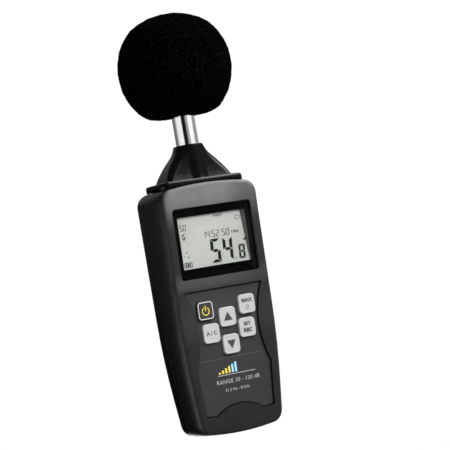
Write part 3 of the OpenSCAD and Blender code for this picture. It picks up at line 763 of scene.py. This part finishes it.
def keypad_outline(inset):
    """The keypad's edge: an arch at the foot, shoulders, and a waist that widens to the top corners."""
    side = arc(FOOT_R, range(1, 39, 2), (0, FOOT_Z))
    side += [(21.8, 11.4), (23.5, 34.2)]
    side += [(WAIST_X - WAIST_R * math.cos(a), WAIST_Z + WAIST_R * math.sin(a))
             for a in map(math.radians, range(-24, 24, 3))]
    side += [(24.8, 80.2)]
    loop = side + [(-x, z) for x, z in reversed(side)]
    out = []
    for i, (x, z) in enumerate(loop):
        x0, z0 = loop[i - 1]
        x1, z1 = loop[(i + 1) % len(loop)]
        a, b = Vector((x - x0, z - z0)).normalized(), Vector((x1 - x, z1 - z)).normalized()
        mid = (a + b).normalized()
        shift = inset / max(0.5, mid.dot(a))
        out.append((x - mid.y * shift, z + mid.x * shift))
    return out


# A black ring round the overlay's edge: a painted shadow, standing for the shade in the groove round the
# keypad.
GROOVE_SHADOW_INK = ink("groove_shadow_ink", (0.002, 0.002, 0.002), 0.6, Specular_IOR_Level=0.0)
ring_piece("keypad_groove_shadow", keypad_outline(0.02), keypad_outline(0.5), *PRINT, GROOVE_SHADOW_INK, "case")
flat_piece("keypad_rule", [rect(0, 41.6, 41.2, 0.3)], *PRINT, ink("rule_ink", (0.05, 0.05, 0.051)), "case")
# six bars, each one step taller than the last, standing on one line
BAR_STEP, BAR_LOW = 0.9, 33.2
bars = [rect(-11.7 + 2.1 * k, BAR_LOW + BAR_STEP * k / 2, 1.3, BAR_STEP * k) for k in range(1, 7)]
flat_piece("level_bars", bars[:4], *PRINT, INK_YELLOW, "case")
flat_piece("level_bars_top", bars[4:], *PRINT, ink("ink_blue", (0.22, 0.45, 0.68)), "case")
flat_piece("level_line", [rect(1, 32.3, 24, 0.35)], *PRINT, INK_DIM, "case")
words("range_word", "RANGE 30 - 130 dB", 3.2, (1.4, 28.6), *PRINT, INK_DIM, "case", 1.05)
words("bandwidth_word", "31.5 Hz - 8 kHz", 2.4, (0.2, 23.9), *PRINT, INK_DIM, "case", 1.02)


# ---------------------------------------------------------------- display
SEGMENTS = {"0": "abcdef", "1": "bc", "2": "abged", "3": "abgcd", "4": "fgbc", "5": "afgcd", "6": "afgedc",
            "7": "abc", "8": "abcdefg", "9": "abcfgd"}
SLANT = 0.04                # how far the digits lean over, as a share of their height


def digit(ch, x, z, w, h, t):
    """Seven-segment strokes with mitred ends, from the lower left corner; t is the uprights' width."""
    g, bar = t * 0.1, t * 0.85
    middle, top = h / 2, h
    level = [(g, top), (w - g, top), (w - t - g, top - bar), (t + g, top - bar)]
    upright = [(0, top - g), (0, middle + g), (t / 2, middle + g), (t, middle + bar / 2 + g),
               (t, top - bar - g)]
    cross = [(t / 2 + g, middle), (t + g, middle + bar / 2), (w - t - g, middle + bar / 2),
             (w - t / 2 - g, middle), (w - t - g, middle - bar / 2), (t + g, middle - bar / 2)]
    right = [(w - px, pz) for px, pz in upright]
    strokes = {"a": level, "f": upright, "b": right, "g": cross, "d": [(px, h - pz) for px, pz in level],
               "e": [(px, h - pz) for px, pz in upright], "c": [(px, h - pz) for px, pz in right]}
    return [[(x + px + pz * SLANT, z + pz) for px, pz in strokes[s]] for s in SEGMENTS[ch]]


LCD = (GLASS_V - 0.045, GLASS_V - 0.005)        # depths of what the display shows
big = digit("5", -3.6, 94.0, 6.2, 13.1, 1.95) + digit("4", 4.3, 94.0, 6.2, 13.1, 1.95)
big += digit("8", 14.2, 94.1, 4.1, 7.9, 1.3) + [rect(11.9, 94.7, 0.7, 0.7)]
flat_piece("lcd_reading", big, *LCD, SEGMENT, "case")
small = []
for pair, x0 in (("14", -7.3), ("52", -1.3), ("50", 5.2)):
    for i, ch in enumerate(pair):
        small += digit(ch, x0 + 2.6 * i, 108.1, 2.1, 3.8, 0.52)
for i, ch in enumerate("50"):
    small += digit(ch, -20.9 + 2.2 * i, 113.6, 1.8, 3.4, 0.45)
flat_piece("lcd_clock", small, *LCD, SEGMENT_THIN, "case")
words("lcd_time", "TIME", 2.0, (13.5, 109.4), *LCD, SEGMENT_THIN, "case", 1.2, 0.09)
words("lcd_unit", "dB", 2.2, (19.4, 104.6), *LCD, SEGMENT, "case", 1.0, 0.09)
words("lcd_fast", "FAST", 2.3, (4.2, 119.7), *LCD, SEGMENT_THIN, "case", 1.15, 0.09)
battery = [rect(-18.6 + 1.05 * k, 94.9, 0.8, 1.6) for k in range(-1, 2)]
flat_piece("lcd_battery_bars", battery, *LCD, SEGMENT, "case")
at = (-18.5, 94.9)
ring_piece("lcd_battery_case", rounded(4.9, 2.8, 0.2, 2, at), rounded(4.1, 2.0, 0.1, 2, at),
           *LCD, SEGMENT, "case")
at = (16.3, 117.2)
ring_piece("lcd_corner_mark", rounded(3.2, 2.4, 0.9, 4, at), rounded(2.5, 1.7, 0.6, 4, at),
           *LCD, SEGMENT_THIN, "case")
flat_piece("lcd_marks", [circle(0.5, 24, (-18.7, 101.8)), circle(0.5, 24, (-17.6, 99.2)),
                         circle(0.3, 24, (-20.3, 99.9)),
                         [(-20.4, 109.9), (-18.9, 108.3), (-17.2, 111.1), (-18.9, 109.9)],
                         [(-20.6, 111.6), (-19.3, 110.5), (-17.7, 112.6), (-19.3, 111.7)]],
           *LCD, SEGMENT_THIN, "case")


# ---------------------------------------------------------------- floor and light
# The light is painted on the world, as soft areas by direction. A direction's angle is in degrees round the
# Z axis, 0 where the camera stands at rest and positive to its right; its rise is the sine of its height
# above the horizon. Each table is stops of (angle or rise, brightness).
WALLS = [(-180, 0.2), (-128, 0.15), (-106, 0.2), (-89, 0.5), (-80, 0.95), (-30, 1.05), (-24, 0.5),
         (-20, 0.01), (11, 0.01), (17, 0.3), (36, 0.4), (46, 1.1), (82, 1.1), (97, 0.5), (112, 0.22),
         (128, 0.4), (180, 0.3)]
WALLS_RISE = [(-1, 0.04), (0.01, 0.04), (0.06, 1.0), (0.125, 1.0), (0.16, 0.05), (1, 0.04)]
# A bright sheet above, to the right
TENT = [(50, 0), (66, 1), (96, 1), (112, 0)]
TENT_RISE = [(0.4, 0), (0.5, 1), (0.8, 1), (0.9, 0)]
TENT_LEVEL = 17
# Patches of glow from below the horizon, to the left and behind
UNDER = [(-180, 1), (-166, 1), (-156, 0), (-74, 0), (-64, 0.6), (-22, 0.6), (-12, 0), (112, 0), (124, 0.4),
         (150, 0.4), (158, 0.3), (166, 0.3), (174, 1), (180, 1)]
UNDER_RISE = [(-0.7, 0.2), (-0.5, 1), (-0.03, 1), (0, 0)]
UNDER_LEVEL = 3.5
# A glow behind and above, by the share of the way from in front of the object (0) to behind it (1)
BEHIND = [(0.55, 0), (0.8, 0.45), (1, 0.45)]
BEHIND_RISE = [(0.22, 0), (0.4, 1), (0.7, 1), (0.9, 0.3)]
FLOOR_R, FLOOR_Z = 3.0, -0.35       # metres
BACKGROUND = 1.02                   # brightness that the camera sees behind the floor


def floor():
    mesh = bpy.data.meshes.new("floor")
    points = [(FLOOR_R * math.cos(t), FLOOR_R * math.sin(t), FLOOR_Z) for t in turns(64)]
    mesh.from_pydata(points, [], [list(range(len(points)))])
    s = Shader("floor", (0.86, 0.86, 0.86), 0.9)
    s.color(s.noise(300, 2), [(0.3, 0.855), (0.7, 0.865)])
    mesh.materials.append(s.mat)
    ob = bpy.data.objects.new("floor", mesh)
    scene.collection.objects.link(ob)
    ob.visible_glossy = False


def studio():
    world = bpy.data.worlds.new("studio")
    scene.world = world
    world.use_nodes = True
    tree = world.node_tree
    tree.nodes.clear()

    def node(kind, *inputs, **values):
        n = tree.nodes.new(kind)
        for k, v in values.items():
            setattr(n, k, v)
        for k, v in enumerate(inputs):
            if isinstance(v, bpy.types.NodeSocket):
                tree.links.new(v, n.inputs[k])
            else:
                n.inputs[k].default_value = v
        return n

    def ramp(fac, stops):
        r = node("ShaderNodeValToRGB", fac)
        set_stops(r, [(p, (c, c, c * 1.01, 1)) for p, c in stops])
        return r.outputs["Color"]

    def mix(kind, a, b):
        return node("ShaderNodeMixRGB", 1.0, a, b, blend_type=kind).outputs[0]

    def level(color, by):
        return mix("MULTIPLY", color, (by, by, by, 1))

    def math_node(operation, *inputs):
        return node("ShaderNodeMath", *inputs, operation=operation).outputs[0]

    way = node("ShaderNodeSeparateXYZ", node("ShaderNodeTexCoord").outputs["Generated"]).outputs

    def component(x, y):
        return math_node("ADD", math_node("MULTIPLY", way[0], x), math_node("MULTIPLY", way[1], y))

    ahead = component(math.sin(VIEW_AZ), -math.cos(VIEW_AZ))
    aside = component(math.cos(VIEW_AZ), math.sin(VIEW_AZ))
    turn = math_node("ADD", math_node("DIVIDE", math_node("ARCTAN2", aside, ahead), math.tau), 0.5)
    height = math_node("MULTIPLY_ADD", way[2], 0.5, 0.5)
    behind = math_node("MULTIPLY_ADD", ahead, -0.5, 0.5)

    def by_angle(stops):
        return ramp(turn, [(a / 360 + 0.5, c) for a, c in stops])

    def by_rise(stops):
        return ramp(height, [(0.5 + a / 2, c) for a, c in stops])

    walls = mix("MULTIPLY", by_angle(WALLS), by_rise(WALLS_RISE))
    back = mix("MULTIPLY", ramp(behind, BEHIND), ramp(way[2], BEHIND_RISE))
    under = level(mix("MULTIPLY", by_angle(UNDER), by_rise(UNDER_RISE)), UNDER_LEVEL)
    tent = level(mix("MULTIPLY", by_angle(TENT), ramp(way[2], TENT_RISE)), TENT_LEVEL)
    light = mix("ADD", mix("ADD", mix("ADD", walls, back), under), tent)
    lit = node("ShaderNodeBackground", light, 1.0)
    seen = node("ShaderNodeBackground", (1, 1, 1, 1), BACKGROUND)
    to_camera = node("ShaderNodeLightPath").outputs["Is Camera Ray"]
    either = node("ShaderNodeMixShader", to_camera, lit.outputs[0], seen.outputs[0])
    node("ShaderNodeOutputWorld", either.outputs[0])


# The one lamp, in metres: a soft area light in front and above, which makes no reflections
LAMP_AT = (-0.07, -0.35, 0.33)
LAMP_AIM = (0, 0, 0.09)
LAMP_SIZE = (0.28, 0.22)
LAMP_LEVEL = 11


def lamp():
    width, height = LAMP_SIZE
    data = bpy.data.lights.new("key_box", "AREA")
    data.shape, data.size, data.size_y = "RECTANGLE", width, height
    data.energy = LAMP_LEVEL * math.pi * width * height
    ob = bpy.data.objects.new("key_box", data)
    ob.location = LAMP_AT
    ob.rotation_mode = "QUATERNION"
    ob.rotation_quaternion = (Vector(LAMP_AT) - Vector(LAMP_AIM)).to_track_quat("Z", "Y")
    ob.visible_glossy = False
    scene.collection.objects.link(ob)


floor()
studio()
lamp()
